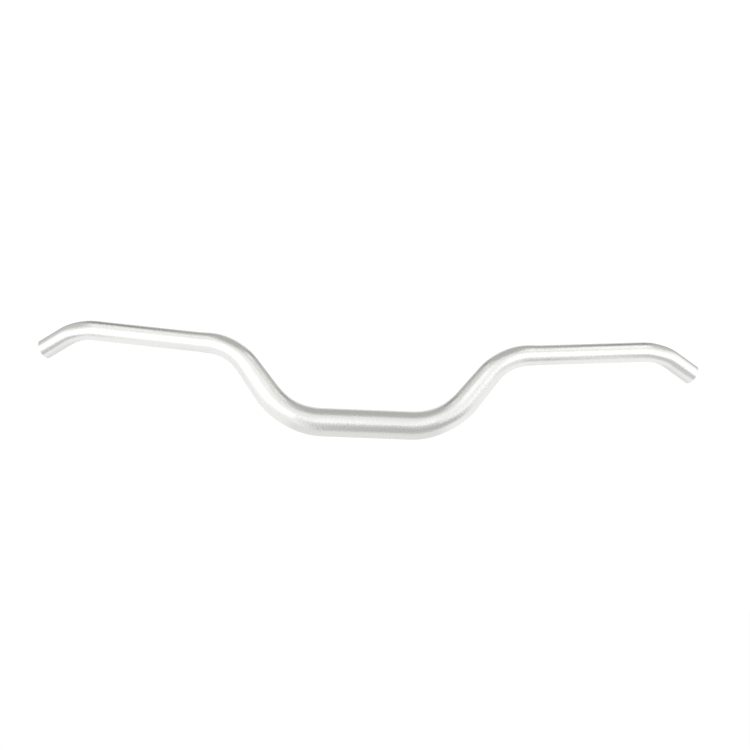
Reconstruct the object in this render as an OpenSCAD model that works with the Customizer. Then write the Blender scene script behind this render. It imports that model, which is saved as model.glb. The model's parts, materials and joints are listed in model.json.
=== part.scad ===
// Bicycle handlebar: one bent tube, butted down from the stem clamp to the arms.
// X runs along the clamp section, Y towards the rider and Z up. The origin is the
// centre of the clamp section, on the tube's axis. Lengths are in millimetres.

/* [Tube] */
// Outside diameter of the clamp section
clamp_d = 31.8; // [28:0.1:35]
// Outside diameter of the arms and ends
arm_d = 22.2; // [20:0.1:25.4]
// Wall of the clamp section
clamp_wall = 2.6; // [1.6:0.1:4]
// Wall of the arms and ends
arm_wall = 2.2; // [1.2:0.1:3]
// Leg of the chamfers round each cut end
end_chamfer = 0.5; // [0.1:0.1:0.7]

/* [Straight lengths] */
// Straight clamp section, from bend to bend
clamp_len = 98; // [70:1:140]
// Straight riser between the lower and the upper bend
riser_len = 36; // [10:1:80]
// Straight arm between the upper bend and the end bend
arm_len = 132; // [80:1:200]
// Straight stub after the end bend
end_len = 32; // [15:1:150]

/* [Bends] */
// Radius of the lower bends, on the tube's axis
lower_bend_r = 80; // [50:1:120]
// Radius of the upper bends, on the tube's axis
upper_bend_r = 59; // [40:1:100]
// Radius of the end bends, on the tube's axis
end_bend_r = 58; // [40:1:100]
// Angle of the risers above the clamp section, in degrees
riser_angle = 52.5; // [30:0.5:75]
// Angle at which the arms rise outwards
arm_up_angle = 4; // [0:0.5:10]
// Angle at which the arms sweep towards the rider
arm_back_angle = 11; // [0:0.5:25]
// Angle at which the ends drop below level
end_down_angle = 28.5; // [10:0.5:45]
// Angle at which the ends sweep towards the rider
end_back_angle = 30; // [12:0.5:60]

/* [Taper and flattening] */
// Length of each lower bend that keeps the clamp diameter
taper_lead = 31; // [0:1:60]
// Length of each arm in which the taper runs out
taper_run_out = 15; // [2:1:50]
// Flattening of the tube in the middle of the lower bends, as a share of its diameter
lower_flat_share = 0.05; // [0:0.01:0.1]
// Flattening in the middle of the upper bends
upper_flat_share = 0.035; // [0:0.005:0.1]
// Flattening in the middle of the end bends
end_flat_share = 0.055; // [0:0.005:0.1]

/* [Hidden] */

clamp_r = clamp_d / 2;
arm_r = arm_d / 2;
arm_bore_r = arm_r - arm_wall;

sides = 32;           // corners round a swept section
ring_angle = 6;       // degrees of bend between two rings
round_fn = 64;        // smoothness of the true cylinders
lap = 1;              // how far a swept tube runs into the wall of a true cylinder
skin_gap = 0.02;      // how far the lapped part lies under that wall's two faces
overrun = 1;          // how far a bore's cutter runs past each end

// Directions of the straight stretches on the +X side
function unit(v) = v / norm(v);
function heading(up, back) = [cos(up) * cos(back), cos(up) * sin(back), sin(up)];
clamp_dir = heading(0, 0);
riser_dir = heading(riser_angle, 0);
arm_dir = heading(arm_up_angle, arm_back_angle);
end_dir = heading(-end_down_angle, end_back_angle);

// A bend turns from direction d0 to d1 about a circle of radius r that starts at p
function turn(d0, d1) = acos(d0 * d1);
function inward(d0, d1) = unit(d1 - d0 * (d0 * d1));
function bend_length(d0, d1, r) = r * turn(d0, d1) * PI / 180;
function bend_end(p, d0, d1, r) = p + r * tan(turn(d0, d1) / 2) * (d0 + d1);

// Where each stretch starts, and how far along the tube that is from its middle
lower_bend_p = clamp_dir * clamp_len / 2;
riser_p = bend_end(lower_bend_p, clamp_dir, riser_dir, lower_bend_r);
upper_bend_p = riser_p + riser_dir * riser_len;
arm_p = bend_end(upper_bend_p, riser_dir, arm_dir, upper_bend_r);
true_arm_p = arm_p + arm_dir * taper_run_out;
end_bend_p = arm_p + arm_dir * arm_len;
end_p = bend_end(end_bend_p, arm_dir, end_dir, end_bend_r);

lower_bend_s = clamp_len / 2;
riser_s = lower_bend_s + bend_length(clamp_dir, riser_dir, lower_bend_r);
upper_bend_s = riser_s + riser_len;
arm_s = upper_bend_s + bend_length(riser_dir, arm_dir, upper_bend_r);
end_bend_s = arm_s + arm_len;
end_s = end_bend_s + bend_length(arm_dir, end_dir, end_bend_r);

// The taper runs evenly from the lower bend into the arm
taper_start = lower_bend_s + taper_lead;
taper_end = arm_s + taper_run_out;
function along_taper(s) = max(0, min(1, (s - taper_start) / (taper_end - taper_start)));
function outer_r(s) = clamp_r + (arm_r - clamp_r) * along_taper(s);
function wall(s) = clamp_wall + (arm_wall - clamp_wall) * along_taper(s);
function bore_r(s) = outer_r(s) - wall(s);

// Corner circles of a swept section's two outlines, which both lie inside the wall
function outside_r(s) = outer_r(s) - skin_gap;
function inside_r(s) = (bore_r(s) + skin_gap) / cos(180 / sides);

// A station is [point, direction, side, inward, flattening, distance along the tube].
// The side vector starts level and is carried along the tube without twist.
function carried_side(side, d0, d1, a) =
    let (n = inward(d0, d1), b = cross(d0, n))
    (side * n) * (cos(a) * n - sin(a) * d0) + (side * b) * b;

function bend_stations(p, d0, d1, r, side, flat, s0) =
    let (angle = turn(d0, d1), n = inward(d0, d1), count = ceil(angle / ring_angle))
    [for (i = [0:count])
        let (a = angle * i / count, toward = cos(a) * n - sin(a) * d0)
        [p + r * (sin(a) * d0 + (1 - cos(a)) * n), cos(a) * d0 + sin(a) * n,
         carried_side(side, d0, d1, a), toward,
         flat * pow(sin(180 * i / count), 2), s0 + r * a * PI / 180]];

function straight_station(p, d, side, s) = [p, d, side, side, 0, s];

// A section is flattened towards the bend's centre and spreads to keep its girth
function section(station, r) =
    let (d = station[1], side = station[2], toward = station[3],
         across = cross(d, toward), up = cross(d, side),
         short = r * (1 - station[4]), long = sqrt(2 * r * r - short * short))
    [for (i = [0:sides - 1])
        let (a = 360 * i / sides, u = cos(a) * side + sin(a) * up)
        station[0] + short * (u * toward) * toward + long * (u * across) * across];

module swept_tube(stations) {
    rings = len(stations);
    per_skin = rings * sides;
    outside = [for (st = stations) each section(st, outside_r(st[5]))];
    inside = [for (st = stations) each section(st, inside_r(st[5]))];
    function skin(k, r, i) = k * per_skin + r * sides + i % sides;
    walls = [for (r = [0:rings - 2], i = [0:sides - 1]) each [
        [skin(0, r, i), skin(0, r + 1, i), skin(0, r + 1, i + 1)],
        [skin(0, r, i), skin(0, r + 1, i + 1), skin(0, r, i + 1)],
        [skin(1, r, i), skin(1, r + 1, i + 1), skin(1, r + 1, i)],
        [skin(1, r, i), skin(1, r, i + 1), skin(1, r + 1, i + 1)]]];
    last = rings - 1;
    mouths = [for (i = [0:sides - 1]) each [
        [skin(0, 0, i), skin(0, 0, i + 1), skin(1, 0, i + 1)],
        [skin(0, 0, i), skin(1, 0, i + 1), skin(1, 0, i)],
        [skin(0, last, i), skin(1, last, i + 1), skin(0, last, i + 1)],
        [skin(0, last, i), skin(1, last, i), skin(1, last, i + 1)]]];
    polyhedron(points = concat(outside, inside), faces = concat(walls, mouths));
}

// Puts what runs along +Z at p, running along d
module lay_along(p, d) {
    translate(p) rotate([0, acos(d[2]), atan2(d[1], d[0])]) children();
}

module round_tube(r, wall, length) {
    difference() {
        cylinder(h = length, r = r, $fn = round_fn);
        translate([0, 0, -overrun])
            cylinder(h = length + 2 * overrun, r = r - wall, $fn = round_fn);
    }
}

module clamp_section() {
    lay_along(-lower_bend_p, clamp_dir) round_tube(clamp_r, clamp_wall, clamp_len);
}

module riser() {
    side = [0, 1, 0];
    arm_side = carried_side(side, riser_dir, arm_dir, turn(riser_dir, arm_dir));
    swept_tube(concat(
        [straight_station(lower_bend_p - lap * clamp_dir, clamp_dir, side, lower_bend_s - lap)],
        bend_stations(lower_bend_p, clamp_dir, riser_dir, lower_bend_r,
                      side, lower_flat_share, lower_bend_s),
        bend_stations(upper_bend_p, riser_dir, arm_dir, upper_bend_r,
                      side, upper_flat_share, upper_bend_s),
        [straight_station(true_arm_p, arm_dir, arm_side, taper_end),
         straight_station(true_arm_p + lap * arm_dir, arm_dir, arm_side, taper_end + lap)]));
}

module arm() {
    lay_along(true_arm_p, arm_dir) round_tube(arm_r, arm_wall, arm_len - taper_run_out);
}

module end_bend() {
    side = unit(cross(arm_dir, [0, 0, 1]));
    end_side = carried_side(side, arm_dir, end_dir, turn(arm_dir, end_dir));
    swept_tube(concat(
        [straight_station(end_bend_p - lap * arm_dir, arm_dir, side, end_bend_s - lap)],
        bend_stations(end_bend_p, arm_dir, end_dir, end_bend_r,
                      side, end_flat_share, end_bend_s),
        [straight_station(end_p + lap * end_dir, end_dir, end_side, end_s + lap)]));
}

module end_stub() {
    lay_along(end_p, end_dir) rotate_extrude($fn = round_fn) polygon([
        [arm_bore_r, 0], [arm_r, 0],
        [arm_r, end_len - end_chamfer], [arm_r - end_chamfer, end_len],
        [arm_bore_r + end_chamfer, end_len], [arm_bore_r, end_len - end_chamfer]]);
}

module handlebar() {
    color("silver") {
        clamp_section();
        for (turned = [0, 1]) mirror([turned, 0, 0]) {
            riser();
            arm();
            end_bend();
            end_stub();
        }
    }
}

handlebar();
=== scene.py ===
"""A bicycle handlebar: one bent, butted aluminium tube with a blasted, silver anodised skin.

Lengths are in metres. X runs along the clamp section, Y towards the rider and Z up, and the
origin is the centre of the clamp section.
"""

import json
import math
from enum import IntEnum
from typing import NamedTuple

import bpy
from mathutils import Matrix, Vector


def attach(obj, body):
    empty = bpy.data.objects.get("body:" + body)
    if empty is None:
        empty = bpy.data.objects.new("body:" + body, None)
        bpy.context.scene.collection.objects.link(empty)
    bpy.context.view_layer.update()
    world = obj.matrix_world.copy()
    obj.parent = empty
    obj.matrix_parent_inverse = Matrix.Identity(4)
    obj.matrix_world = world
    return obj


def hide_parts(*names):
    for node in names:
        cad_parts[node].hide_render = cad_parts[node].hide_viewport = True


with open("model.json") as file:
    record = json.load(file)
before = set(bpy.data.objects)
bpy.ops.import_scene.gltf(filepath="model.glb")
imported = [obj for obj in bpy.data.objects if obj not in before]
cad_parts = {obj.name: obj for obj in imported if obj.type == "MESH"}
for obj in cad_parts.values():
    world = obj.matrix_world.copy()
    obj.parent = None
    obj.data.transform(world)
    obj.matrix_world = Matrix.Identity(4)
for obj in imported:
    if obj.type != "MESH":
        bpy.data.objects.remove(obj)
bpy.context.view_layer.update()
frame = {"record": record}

MM_PER_METRE = 1000

# Form of the bends, which the frame's mounts don't hold
LOWER_BEND_R = 0.080
UPPER_BEND_R = 0.059
END_BEND_R = 0.058
RISER_ANGLE = math.radians(52.5)
RISER_LEN = 0.036
TAPER_LEAD = 0.031
TAPER_RUN_OUT = 0.015
CLAMP_WALL = 0.0026
LOWER_FLAT = 0.05
UPPER_FLAT = 0.035
END_FLAT = 0.055
END_CHAMFER = 0.0005
CHAMFER_EASE = 0.00012
EASE_STEPS = 3
MOUTH_LEAD = 0.0004

# Mesh of the tube
SIDES = 96
RING_GAP = 0.003
FIT_TOLERANCE = 0.00005

# Blast grain: noise scales as shares of the dents' density, and weights in height and tone
UNEVEN_SHARE = 0.30
UNEVEN_DETAIL = 2.0
PATCH_SHARE = 0.012
PATCH_DETAIL = 3.0
DENT_SMOOTHNESS = 0.4
DENT_WEIGHT = 0.35
SPECKLE_WEIGHT = 0.55

# Finishes: dent sizes, bump depths and the facing pitch are in metres, and the scale of
# the draw lines is per metre, across the tube and along it
PLACE_ATTRIBUTE = "straight_tube_place"
SKIN_DENT = 0.0005
SKIN_DEPTH = 0.00012
SKIN_DARK = (0.845, 0.845, 0.83)
SKIN_PALE = (0.875, 0.875, 0.865)
SKIN_ROUGHNESS = (0.24, 0.30)
BORE_DENT = 0.0012
BORE_DARK = (0.54, 0.54, 0.53)
BORE_PALE = (0.74, 0.74, 0.72)
BORE_ROUGHNESS = (0.32, 0.44)
DRAW_LINE_SCALE = (900.0, 900.0, 14.0)
DRAW_LINE_DETAIL = 4.0
DRAW_LINE_DEPTH = 0.00003
END_DARK = (0.80, 0.80, 0.79)
END_PALE = (0.92, 0.92, 0.91)
END_ROUGHNESS = (0.20, 0.30)
END_DEPTH = 0.00003
FACING_PITCH = 0.00012
GROOVE_WEIGHT = 0.2

# Camera, from the photograph's framing
CAMERA_DISTANCE = 5.0
PIXELS_PER_METRE = 897.5
PHOTO_SIZE = 750
SENSOR_WIDTH = 36.0
CAMERA_ROLL = math.radians(2.24)
CAMERA_YAW = math.radians(0.36)
CAMERA_REACH = 40.0
AIM = Vector((0.0078, 0.0, 0.0548))

# Studio: radiance 1 is the white that the camera sees behind the bar
FLOOR_Z = -0.45
FLOOR_SIZE = 14.0
FLOOR_COLOUR = (0.86, 0.86, 0.86)
FLOOR_ROUGHNESS = 0.9
FLOOR_SHINE = 0.1
FLOOR_LIGHT = (1.065, 1.065, 1.065)
SHADOW_SHARE = 0.12
WALL_LIGHT = (1.04, 1.04, 1.04)
CEILING_LIGHT = (0.61, 0.605, 0.595)
# The walls give way to the ceiling between these heights of the line of sight
WALL_TOP = math.sin(math.radians(10))
CEILING_EDGE = math.sin(math.radians(33))


class Card(NamedTuple):
    """A flat card that shows only in reflections: X of its two sides, (Y, Z) of its first
    and its second edge, and its radiance."""

    name: str
    sides: tuple
    first: tuple
    second: tuple
    light: tuple

    @property
    def corners(self):
        left, right = self.sides
        return [(left, *self.first), (right, *self.first),
                (right, *self.second), (left, *self.second)]


CARDS = [
    Card("ceiling_card", (-0.29, 0.29), (-0.36, 0.64), (0.58, 0.64), (0.49, 0.485, 0.475)),
    Card("left_ceiling_card", (-0.50, -0.29), (0.03, 0.64), (0.58, 0.64), (0.27, 0.27, 0.26)),
    Card("right_ceiling_card", (0.29, 0.50), (0.03, 0.64), (0.58, 0.64), (0.31, 0.31, 0.30)),
    Card("front_card", (-0.08, 0.15), (-0.95, -0.07), (-0.10, -0.24), (0.54, 0.535, 0.53)),
    Card("front_right_card", (0.15, 0.40), (-0.43, -0.175), (-0.10, -0.24), (0.54, 0.535, 0.53)),
    Card("right_end_card", (0.36, 1.30), (-0.30, -0.03), (0.00, -0.03), (0.64, 0.635, 0.63)),
    Card("left_end_card", (-1.30, -0.39), (-0.14, -0.07), (0.00, -0.07), (0.59, 0.585, 0.58)),
    Card("under_card", (-0.31, 0.31), (-0.22, -0.445), (1.54, -0.445), (0.85, 0.85, 0.84)),
    Card("back_card", (-0.46, 0.46), (1.00, 0.15), (1.00, 1.02), (0.92, 0.92, 0.92)),
    Card("left_back_card", (-0.95, -0.46), (1.00, 0.15), (1.00, 1.02), (0.42, 0.42, 0.42)),
    Card("right_back_card", (0.46, 0.95), (1.00, 0.15), (1.00, 1.02), (0.42, 0.42, 0.42)),
]


class Softbox(NamedTuple):
    """A lamp: its middle, width and height, the radiance that it adds, and what it faces."""

    name: str
    middle: tuple
    size: tuple
    light: float
    aim: tuple = (0, 0, 0)


SOFTBOXES = [
    Softbox("left_softbox", (-0.45, -0.39, 0.07), (1.20, 0.70), 0.33),
    Softbox("right_softbox", (0.61, -0.25, 0.15), (1.17, 0.64), 0.43),
    Softbox("top_softbox", (-0.04, -1.00, 0.96), (1.53, 0.99), 0.31),
    Softbox("left_overhead_softbox", (-0.50, -0.23, 0.82), (0.32, 0.54), 0.45, (-0.50, -0.23, 0)),
    Softbox("right_overhead_softbox", (0.51, -0.23, 0.82), (0.34, 0.54), 0.62, (0.51, -0.23, 0)),
]

MOUNTS = {m["name"]: m for m in frame["record"]["mounts"]}


class Seat(NamedTuple):
    """One of the record's round mounts: its middle, direction, radius and length."""

    middle: Vector
    along: Vector
    radius: float
    length: float

    @property
    def start(self):
        return self.middle - self.along * self.length / 2


def seat(name):
    mount = MOUNTS[name]
    size = mount["dims"]
    return Seat(Vector(mount["pos_m"]), Vector(mount["axis"]).normalized(),
                size["r_mm"] / MM_PER_METRE, size["length_mm"] / MM_PER_METRE)


class Station(NamedTuple):
    """A place along the tube: point, direction, a side vector carried without twist, the
    direction to the bend's centre, the flattening there, and the distance from the middle."""

    point: Vector
    along: Vector
    side: Vector
    toward: Vector
    flat: float
    distance: float


class Finish(IntEnum):
    """Number of the material; where two rings differ, the lower one covers the faces."""

    SKIN = 0
    BORE = 1
    END = 2


class Ring(NamedTuple):
    """One ring of the mesh, with its radius and its distance along the tube from the middle,
    which counts down on the -X side."""

    points: list
    radius: float
    distance: float
    finish: Finish


def straight_run(start, length):
    """Stations on from a station, evenly spaced along its direction."""
    count = max(1, math.ceil(length / RING_GAP))
    steps = [length * i / count for i in range(1, count + 1)]
    return [start._replace(point=start.point + start.along * s, toward=start.side, flat=0.0,
                           distance=start.distance + s) for s in steps]


def bend(start, new_along, radius, flat):
    """Stations round a bend to a new direction, flattened most in its middle."""
    old = start.along
    angle = old.angle(new_along)
    inward = (new_along - old * old.dot(new_along)).normalized()
    across = old.cross(inward)
    count = max(2, math.ceil(angle * radius / RING_GAP))
    stations = []
    for i in range(1, count + 1):
        a = angle * i / count
        toward = inward * math.cos(a) - old * math.sin(a)
        stations.append(Station(
            start.point + (old * math.sin(a) + inward * (1 - math.cos(a))) * radius,
            old * math.cos(a) + inward * math.sin(a),
            toward * start.side.dot(inward) + across * start.side.dot(across),
            toward,
            flat * math.sin(math.pi * i / count) ** 2,
            start.distance + radius * a))
    return stations


def half_path(clamp, arm, stub):
    """Stations from the middle of the clamp section to the cut end on the +X side, and the
    distance along the tube at which the taper starts and ends."""
    riser_along = Vector((math.cos(RISER_ANGLE), 0, math.sin(RISER_ANGLE)))
    path = [Station(clamp.middle, clamp.along, Vector((0, 1, 0)), Vector((0, 1, 0)), 0.0, 0.0)]
    path += straight_run(path[-1], clamp.length / 2)
    taper_start = path[-1].distance + TAPER_LEAD
    path += bend(path[-1], riser_along, LOWER_BEND_R, LOWER_FLAT)
    path += straight_run(path[-1], RISER_LEN)
    path += bend(path[-1], arm.along, UPPER_BEND_R, UPPER_FLAT)
    path += straight_run(path[-1], TAPER_RUN_OUT)
    taper_end = path[-1].distance
    if (path[-1].point - arm.start).length > FIT_TOLERANCE:
        raise ValueError("the riser doesn't reach the arm")
    path += straight_run(path[-1], arm.length)
    path += bend(path[-1], stub.along, END_BEND_R, END_FLAT)
    if (path[-1].point - stub.start).length > FIT_TOLERANCE:
        raise ValueError("the end bend doesn't reach the end stub")
    path += straight_run(path[-1], stub.length)
    return path, taper_start, taper_end


def mirrored(station):
    """The station's twin on the -X side, still facing outwards from the middle."""
    flip = Vector((-1, 1, 1))
    return station._replace(point=station.point * flip, along=station.along * flip,
                            side=station.side * flip, toward=station.toward * flip)


def section(station, radius):
    """Points round a section that is flattened towards the bend and keeps its girth."""
    across = station.along.cross(station.toward)
    up = station.along.cross(station.side)
    short = radius * (1 - station.flat)
    long = math.sqrt(2 * radius ** 2 - short ** 2)
    points = []
    for i in range(SIDES):
        a = math.tau * i / SIDES
        out = station.side * math.cos(a) + up * math.sin(a)
        points.append(station.point + station.toward * short * out.dot(station.toward)
                      + across * long * out.dot(across))
    return points


def eased_corner(before, corner, after):
    """Points that round the corner of an outline given as (radius, distance) pairs."""
    def from_corner(other):
        dr, dd = other[0] - corner[0], other[1] - corner[1]
        size = math.hypot(dr, dd)
        return corner[0] + dr / size * CHAMFER_EASE, corner[1] + dd / size * CHAMFER_EASE

    first, last = from_corner(before), from_corner(after)
    points = []
    for i in range(EASE_STEPS + 1):
        t = i / EASE_STEPS
        weights = (1 - t) ** 2, 2 * t * (1 - t), t ** 2
        points.append(tuple(sum(w * p[k] for w, p in zip(weights, (first, corner, last)))
                            for k in (0, 1)))
    return points


def mouth_outline(outer, bore):
    """Radius and distance past the end seat of the rings round a cut end, outside first. A
    ring before and after the chamfers keeps the shading of skin and bore even."""
    outline = [(outer, -MOUTH_LEAD), (outer, 0.0), (outer - END_CHAMFER, END_CHAMFER),
               (bore + END_CHAMFER, END_CHAMFER), (bore, 0.0), (bore, -MOUTH_LEAD)]
    rings = [outline[0]]
    for before, corner, after in zip(outline, outline[1:], outline[2:]):
        rings += eased_corner(before, corner, after)
    return rings + [outline[-1]]


def link_rings(first, second):
    """Quads between two rings, which start at the given vertex numbers."""
    return [(first + i, first + (i + 1) % SIDES, second + (i + 1) % SIDES, second + i)
            for i in range(SIDES)]


def make_ring(station, radius, is_left, finish, past=0.0):
    """A ring round a station, or past it along the tube. A left-hand ring is turned over so
    that all rings run the same way round."""
    points = section(station._replace(point=station.point + station.along * past), radius)
    distance = station.distance + past
    if is_left:
        return Ring([points[0]] + points[:0:-1], radius, -distance, finish)
    return Ring(points, radius, distance, finish)


def make_mouth(station, outer, bore, is_left):
    """The rings round one cut end, outside first."""
    outline = mouth_outline(outer, bore)
    finishes = [Finish.SKIN] + [Finish.END] * (len(outline) - 2) + [Finish.BORE]
    return [make_ring(station, radius, is_left, finish, past)
            for (radius, past), finish in zip(outline, finishes)]


def make_tube():
    """The whole bar as one closed mesh: skin, cut ends and bore."""
    clamp, arm, stub = seat("stem_clamp"), seat("right_control_seat"), seat("right_end_seat")
    end_bore = seat("right_end_bore").radius
    right, taper_start, taper_end = half_path(clamp, arm, stub)
    left = [mirrored(s) for s in right]

    def along_taper(distance):
        return min(1.0, max(0.0, (distance - taper_start) / (taper_end - taper_start)))

    def outer_radius(distance):
        return clamp.radius + (stub.radius - clamp.radius) * along_taper(distance)

    def bore_radius(distance):
        clamp_bore = clamp.radius - CLAMP_WALL
        return clamp_bore + (end_bore - clamp_bore) * along_taper(distance)

    # One loop of rings: out along the skin, round the right end, back along the bore and
    # round the left end. The mouths stand in for the last station of each half.
    skin = [make_ring(s, outer_radius(s.distance), True, Finish.SKIN) for s in left[-2:0:-1]]
    skin += [make_ring(s, outer_radius(s.distance), False, Finish.SKIN) for s in right[:-1]]
    bore = [make_ring(s, bore_radius(s.distance), False, Finish.BORE) for s in right[-2::-1]]
    bore += [make_ring(s, bore_radius(s.distance), True, Finish.BORE) for s in left[1:-1]]
    rings = (skin + make_mouth(right[-1], stub.radius, end_bore, False)
             + bore + make_mouth(left[-1], stub.radius, end_bore, True)[::-1])

    faces, finishes = [], []
    for k, (ring, after) in enumerate(zip(rings, rings[1:] + rings[:1])):
        faces += link_rings(k * SIDES, (k + 1) % len(rings) * SIDES)
        finishes += [min(ring.finish, after.finish)] * SIDES
    mesh = bpy.data.meshes.new("handlebar_tube")
    mesh.from_pydata([point for ring in rings for point in ring.points], [], faces)
    mesh.polygons.foreach_set("use_smooth", [True] * len(faces))
    mesh.polygons.foreach_set("material_index", finishes)
    places = mesh.attributes.new(PLACE_ATTRIBUTE, "FLOAT_VECTOR", "POINT")
    turns = [math.tau * i / SIDES for i in range(SIDES)]
    places.data.foreach_set("vector", [
        value for ring in rings for a in turns
        for value in (ring.radius * math.cos(a), ring.radius * math.sin(a), ring.distance)])
    mesh.update()
    tube = bpy.data.objects.new("handlebar_tube", mesh)
    bpy.context.scene.collection.objects.link(tube)
    return tube


def new_material(name):
    material = bpy.data.materials.new(name)
    material.use_nodes = True
    nodes = material.node_tree.nodes
    return material, nodes, material.node_tree.links, nodes["Principled BSDF"]


def link_math(nodes, links, operation, first, second):
    """A Math node; each input is a socket or a number."""
    node = nodes.new("ShaderNodeMath")
    node.operation = operation
    for socket, value in zip(node.inputs, (first, second)):
        if isinstance(value, float):
            socket.default_value = value
        else:
            links.new(value, socket)
    return node.outputs["Value"]


def link_range(nodes, links, value, low, high):
    """Spreads a 0 to 1 value from low to high."""
    node = nodes.new("ShaderNodeMapRange")
    links.new(value, node.inputs["Value"])
    node.inputs["To Min"].default_value = low
    node.inputs["To Max"].default_value = high
    return node.outputs["Result"]


def link_tones(nodes, links, value, dark, pale):
    """Mixes two colours by a 0 to 1 value."""
    node = nodes.new("ShaderNodeMix")
    node.data_type = "RGBA"
    links.new(value, node.inputs["Factor"])
    node.inputs["A"].default_value = (*dark, 1)
    node.inputs["B"].default_value = (*pale, 1)
    return node.outputs["Result"]


def link_bump(nodes, links, height, depth, shader):
    node = nodes.new("ShaderNodeBump")
    node.inputs["Distance"].default_value = depth
    links.new(height, node.inputs["Height"])
    links.new(node.outputs["Normal"], shader.inputs["Normal"])


def blast_grain():
    """Node group for metal under bead blast: small round dents, a coarser unevenness of the
    grain, and slow patches of tone. Place and Dent Size share one unit."""
    group = bpy.data.node_groups.new("blast_grain", "ShaderNodeTree")
    for name, kind in (("Place", "NodeSocketVector"), ("Dent Size", "NodeSocketFloat")):
        group.interface.new_socket(name, in_out="INPUT", socket_type=kind)
    for name in ("Height", "Tone"):
        group.interface.new_socket(name, in_out="OUTPUT", socket_type="NodeSocketFloat")
    nodes, links = group.nodes, group.links
    given = nodes.new("NodeGroupInput").outputs
    result = nodes.new("NodeGroupOutput").inputs
    density = link_math(nodes, links, "DIVIDE", 1.0, given["Dent Size"])

    dents = nodes.new("ShaderNodeTexVoronoi")
    dents.feature = "SMOOTH_F1"
    dents.inputs["Smoothness"].default_value = DENT_SMOOTHNESS
    links.new(given["Place"], dents.inputs["Vector"])
    links.new(density, dents.inputs["Scale"])

    def noise(share, detail):
        node = nodes.new("ShaderNodeTexNoise")
        node.inputs["Detail"].default_value = detail
        links.new(given["Place"], node.inputs["Vector"])
        links.new(link_math(nodes, links, "MULTIPLY", density, share), node.inputs["Scale"])
        return node.outputs["Fac"]

    uneven = noise(UNEVEN_SHARE, UNEVEN_DETAIL)
    patches = noise(PATCH_SHARE, PATCH_DETAIL)
    fine = link_math(nodes, links, "MULTIPLY", dents.outputs["Distance"], DENT_WEIGHT)
    links.new(link_math(nodes, links, "ADD", uneven, fine), result["Height"])
    speckle = link_math(nodes, links, "MULTIPLY", uneven, SPECKLE_WEIGHT)
    slow = link_math(nodes, links, "MULTIPLY", patches, 1.0 - SPECKLE_WEIGHT)
    links.new(link_math(nodes, links, "ADD", speckle, slow), result["Tone"])
    return group


def link_grain(nodes, links, group, dent_size):
    """Places the grain group; gives its height and tone."""
    node = nodes.new("ShaderNodeGroup")
    node.node_tree = group
    node.inputs["Dent Size"].default_value = dent_size
    links.new(nodes.new("ShaderNodeTexCoord").outputs["Object"], node.inputs["Place"])
    return node.outputs["Height"], node.outputs["Tone"]


def straight_tube_place(nodes):
    """Where a point would be if the tube were straight, along Z."""
    node = nodes.new("ShaderNodeAttribute")
    node.attribute_name = PLACE_ATTRIBUTE
    return node.outputs["Vector"]


def blasted_skin(grain):
    """Fine bead blast under clear anodising."""
    material, nodes, links, shader = new_material("blasted_skin")
    shader.inputs["Metallic"].default_value = 1.0
    height, tone = link_grain(nodes, links, grain, SKIN_DENT)
    links.new(link_tones(nodes, links, tone, SKIN_DARK, SKIN_PALE), shader.inputs["Base Color"])
    links.new(link_range(nodes, links, tone, *SKIN_ROUGHNESS), shader.inputs["Roughness"])
    link_bump(nodes, links, height, SKIN_DEPTH, shader)
    return material


def drawn_bore(grain):
    """The inside of the tube as it was drawn: long fine lines, duller than the skin."""
    material, nodes, links, shader = new_material("drawn_bore")
    shader.inputs["Metallic"].default_value = 1.0
    tone = link_grain(nodes, links, grain, BORE_DENT)[1]
    stretch = nodes.new("ShaderNodeVectorMath")
    stretch.operation = "MULTIPLY"
    stretch.inputs[1].default_value = DRAW_LINE_SCALE
    links.new(straight_tube_place(nodes), stretch.inputs[0])
    lines = nodes.new("ShaderNodeTexNoise")
    lines.inputs["Detail"].default_value = DRAW_LINE_DETAIL
    links.new(stretch.outputs["Vector"], lines.inputs["Vector"])
    links.new(link_tones(nodes, links, lines.outputs["Fac"], BORE_DARK, BORE_PALE),
              shader.inputs["Base Color"])
    links.new(link_range(nodes, links, tone, *BORE_ROUGHNESS), shader.inputs["Roughness"])
    link_bump(nodes, links, lines.outputs["Fac"], DRAW_LINE_DEPTH, shader)
    return material


def faced_end(grain):
    """The cut ends and their chamfers, faced on a lathe before the blast."""
    material, nodes, links, shader = new_material("faced_end")
    shader.inputs["Metallic"].default_value = 1.0
    height, tone = link_grain(nodes, links, grain, SKIN_DENT)
    parts = nodes.new("ShaderNodeSeparateXYZ")
    links.new(straight_tube_place(nodes), parts.inputs["Vector"])
    across = link_math(nodes, links, "MULTIPLY", parts.outputs["X"], parts.outputs["X"])
    up = link_math(nodes, links, "MULTIPLY", parts.outputs["Y"], parts.outputs["Y"])
    radius = link_math(nodes, links, "SQRT", link_math(nodes, links, "ADD", across, up), 0.0)
    turns = link_math(nodes, links, "MULTIPLY", radius, math.tau / FACING_PITCH)
    groove = link_math(nodes, links, "SINE", turns, 0.0)
    marks = link_math(nodes, links, "MULTIPLY", groove, GROOVE_WEIGHT)
    links.new(link_tones(nodes, links, tone, END_DARK, END_PALE), shader.inputs["Base Color"])
    links.new(link_range(nodes, links, tone, *END_ROUGHNESS), shader.inputs["Roughness"])
    link_bump(nodes, links, link_math(nodes, links, "ADD", height, marks), END_DEPTH, shader)
    return material


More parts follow.
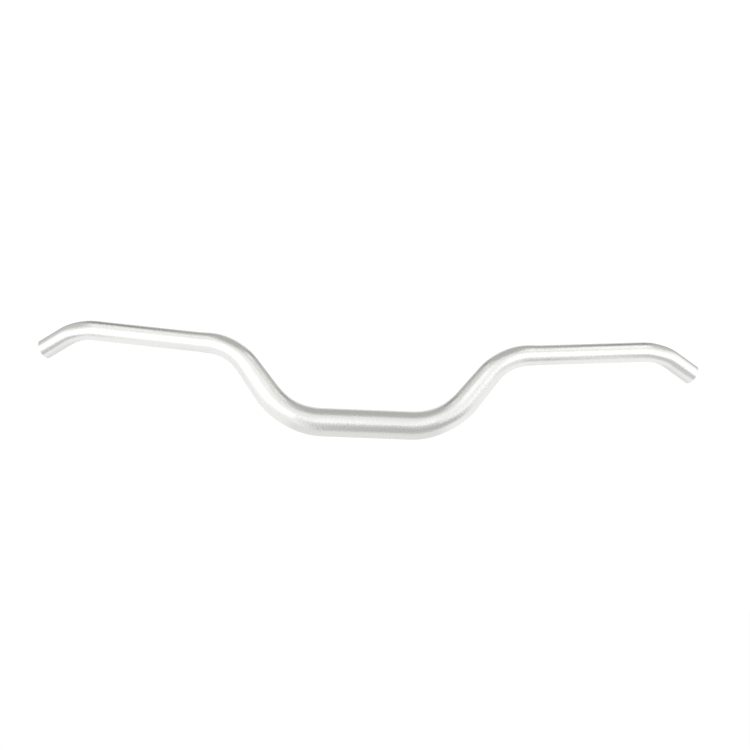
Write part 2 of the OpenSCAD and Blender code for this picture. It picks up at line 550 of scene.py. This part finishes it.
def make_camera():
    data = bpy.data.cameras.new("camera")
    data.sensor_width = SENSOR_WIDTH
    focal_pixels = PIXELS_PER_METRE * CAMERA_DISTANCE
    data.lens = SENSOR_WIDTH * focal_pixels / PHOTO_SIZE
    data.clip_end = CAMERA_REACH
    camera = bpy.data.objects.new("camera", data)
    bpy.context.scene.collection.objects.link(camera)
    location = Vector((-math.sin(CAMERA_YAW), -math.cos(CAMERA_YAW), 0)) * CAMERA_DISTANCE
    facing = (AIM - location).to_track_quat("-Z", "Y").to_matrix().to_4x4()
    roll = Matrix.Rotation(CAMERA_ROLL, 4, "Z")
    camera.matrix_world = Matrix.Translation(location) @ facing @ roll
    bpy.context.scene.camera = camera


def link_ramp(nodes, links, factor, stops):
    """A colour ramp that eases between two (position, colour) stops."""
    node = nodes.new("ShaderNodeValToRGB")
    node.color_ramp.interpolation = "EASE"
    for element, (place, colour) in zip(node.color_ramp.elements, stops):
        element.position = place
        element.color = (*colour, 1)
    links.new(factor, node.inputs["Fac"])
    return node.outputs["Color"]


def emission(nodes, colour):
    node = nodes.new("ShaderNodeEmission")
    node.inputs["Color"].default_value = (*colour, 1)
    return node.outputs["Emission"]


def mix_shaders(nodes, links, factor, first, second):
    """Mixes two shaders; the factor is a socket or a number."""
    node = nodes.new("ShaderNodeMixShader")
    if isinstance(factor, float):
        node.inputs[0].default_value = factor
    else:
        links.new(factor, node.inputs[0])
    links.new(first, node.inputs[1])
    links.new(second, node.inputs[2])
    return node.outputs["Shader"]


def flat_sheet(name, corners, material):
    mesh = bpy.data.meshes.new(name)
    mesh.from_pydata(corners, [], [(0, 1, 2, 3)])
    mesh.materials.append(material)
    sheet = bpy.data.objects.new(name, mesh)
    bpy.context.scene.collection.objects.link(sheet)
    return sheet


def make_floor():
    """A pale floor that the camera and the metal see as white, with the bar's soft shadow."""
    material, nodes, links, shader = new_material("pale_floor")
    shader.inputs["Base Color"].default_value = (*FLOOR_COLOUR, 1)
    shader.inputs["Roughness"].default_value = FLOOR_ROUGHNESS
    shader.inputs["Specular IOR Level"].default_value = FLOOR_SHINE
    path = nodes.new("ShaderNodeLightPath").outputs
    seen = path["Is Camera Ray"]
    for kind in ("Is Glossy Ray", "Is Transmission Ray"):
        seen = link_math(nodes, links, "MAXIMUM", seen, path[kind])
    lit = shader.outputs["BSDF"]
    white = mix_shaders(nodes, links, SHADOW_SHARE, emission(nodes, FLOOR_LIGHT), lit)
    surface = mix_shaders(nodes, links, seen, lit, white)
    links.new(surface, nodes["Material Output"].inputs["Surface"])
    half = FLOOR_SIZE / 2
    flat_sheet("floor", [(-half, -half, FLOOR_Z), (half, -half, FLOOR_Z),
                         (half, half, FLOOR_Z), (-half, half, FLOOR_Z)], material)


def make_card(card):
    material, nodes, links, _ = new_material(card.name)
    links.new(emission(nodes, card.light), nodes["Material Output"].inputs["Surface"])
    material.cycles.emission_sampling = "NONE"
    sheet = flat_sheet(card.name, card.corners, material)
    sheet.visible_camera = False
    sheet.visible_diffuse = False
    sheet.visible_shadow = False


def make_world():
    """White walls under a dimmer ceiling."""
    world = bpy.data.worlds.new("studio")
    world.use_nodes = True
    nodes, links = world.node_tree.nodes, world.node_tree.links
    direction = nodes.new("ShaderNodeTexCoord").outputs["Generated"]
    parts = nodes.new("ShaderNodeSeparateXYZ")
    links.new(direction, parts.inputs["Vector"])
    room = link_ramp(nodes, links, parts.outputs["Z"],
                     [(WALL_TOP, WALL_LIGHT), (CEILING_EDGE, CEILING_LIGHT)])
    links.new(room, nodes["Background"].inputs["Color"])
    world.cycles.sampling_method = "NONE"
    bpy.context.scene.world = world


def make_softbox(box):
    data = bpy.data.lights.new(box.name, "AREA")
    data.shape = "RECTANGLE"
    data.size, data.size_y = box.size
    data.energy = box.light * math.pi * box.size[0] * box.size[1]
    lamp = bpy.data.objects.new(box.name, data)
    bpy.context.scene.collection.objects.link(lamp)
    lamp.location = box.middle
    lamp.rotation_mode = "QUATERNION"
    facing = Vector(box.aim) - Vector(box.middle)
    lamp.rotation_quaternion = facing.to_track_quat("-Z", "Y")


make_camera()
tube = make_tube()
grain = blast_grain()
for finish in (blasted_skin, drawn_bore, faced_end):
    tube.data.materials.append(finish(grain))
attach(tube, "root")
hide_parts("handlebar")
make_floor()
make_world()
for studio_card in CARDS:
    make_card(studio_card)
for studio_lamp in SOFTBOXES:
    make_softbox(studio_lamp)
bpy.context.scene.view_settings.view_transform = "Standard"
